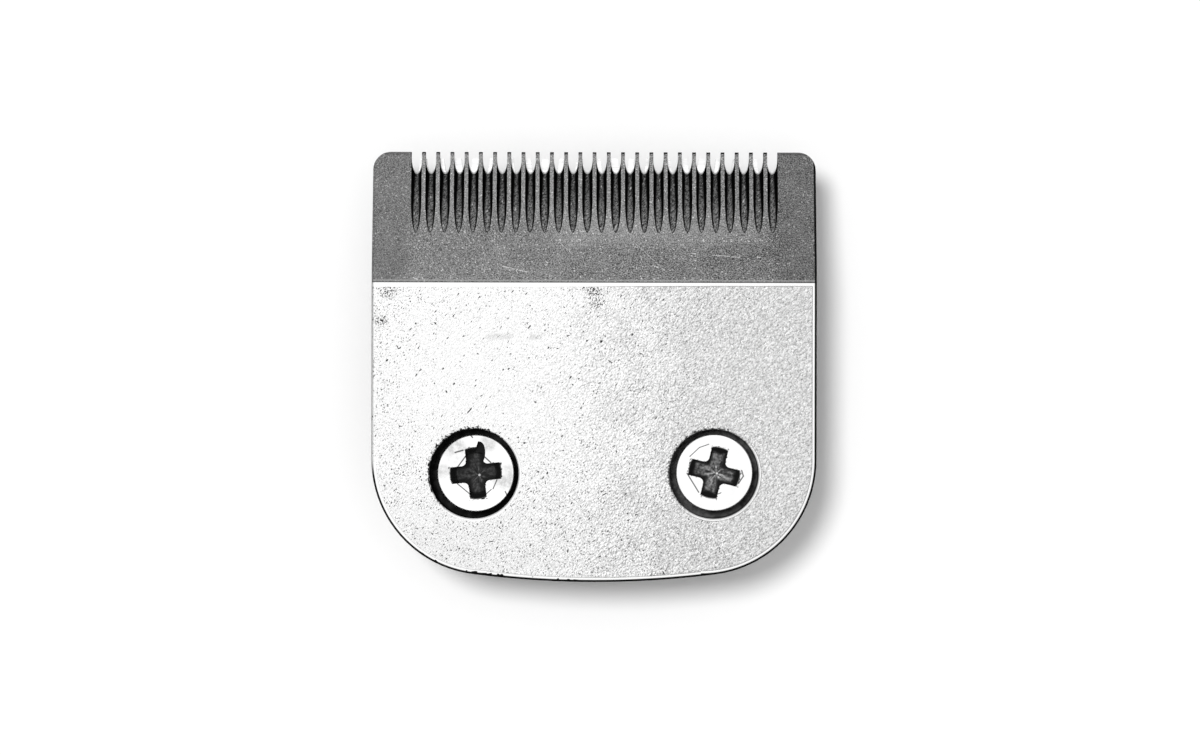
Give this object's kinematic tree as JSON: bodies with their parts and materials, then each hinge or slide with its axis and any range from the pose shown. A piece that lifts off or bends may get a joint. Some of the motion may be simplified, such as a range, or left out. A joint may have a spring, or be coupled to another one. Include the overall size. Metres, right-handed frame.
{
  "type": "hair clipper blade",
  "caption": "Detachable hair clipper blade: flat toothed comb with rounded rear corners, a sliding toothed cutter behind it, tension spring, screws and a rear socket.",
  "frame": {"origin": "under the middle of the comb, on the surface that the set lies on", "axes": "+X across the blade, +Y towards the tooth tips, +Z out of the skin face"},
  "size_m": [0.04, 0.0386, 0.0113],
  "materials": {
    "comb_steel": "satin plated body, matt grey ground bevel, dark slots",
    "cutter_steel": "bright ground",
    "spring_steel": "satin spring strip",
    "guide_plastic": "matt moulded",
    "socket_steel": "plated sheet",
    "screw_steel": "bright plated"
  },
  "bodies": {
    "comb_set": {"comb": "comb_steel", "tension_spring": "spring_steel", "spring_guide": "guide_plastic", "socket": "socket_steel", "left_screw": "screw_steel", "right_screw": "screw_steel"},
    "cutter": {"cutter": "cutter_steel"}
  },
  "joints": [
    {"name": "cutter_stroke", "type": "slide", "parent": "comb_set", "child": "cutter", "axis": [1, 0, 0], "range_m": [-0.0007, 0.0018]}
  ]
}
